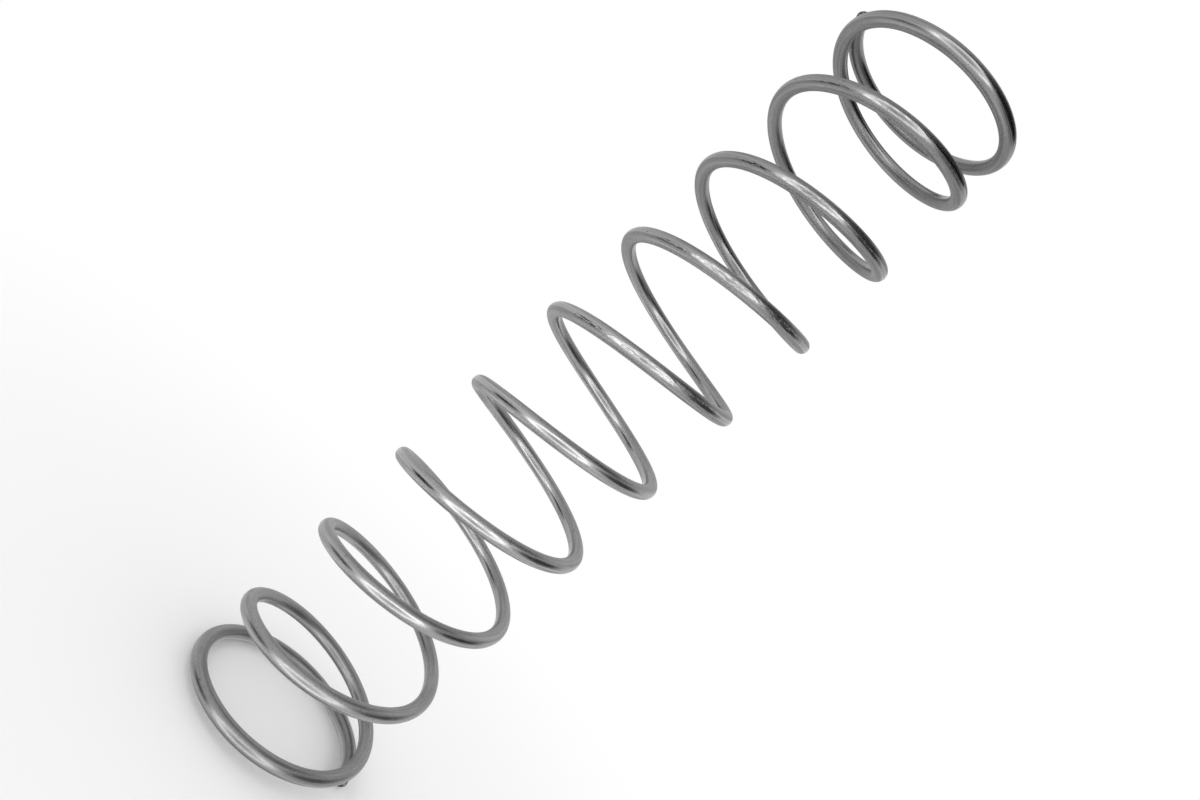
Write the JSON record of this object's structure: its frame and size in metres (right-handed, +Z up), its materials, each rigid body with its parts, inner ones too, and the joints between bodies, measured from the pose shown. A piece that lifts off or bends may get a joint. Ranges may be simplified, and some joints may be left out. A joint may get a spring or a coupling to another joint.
{
  "type": "compression spring",
  "caption": "Right-hand helical compression spring in round drawn steel wire, with closed, unground ends; it takes load along its axis and slides over a rod or into a pocket.",
  "frame": {"origin": "on the coil's axis, in the plane that the lower end turn stands on", "axes": "+Z up along the coil's axis from the lower end to the upper end; the lower tip lies about 6 degrees from +X towards -Y"},
  "size_m": [0.0582, 0.0582, 0.254],
  "materials": {
    "drawn_steel": "satin drawn wire with fine lengthwise draw lines"
  },
  "bodies": {
    "root": {"coil_spring": "drawn_steel"}
  },
  "joints": []
}
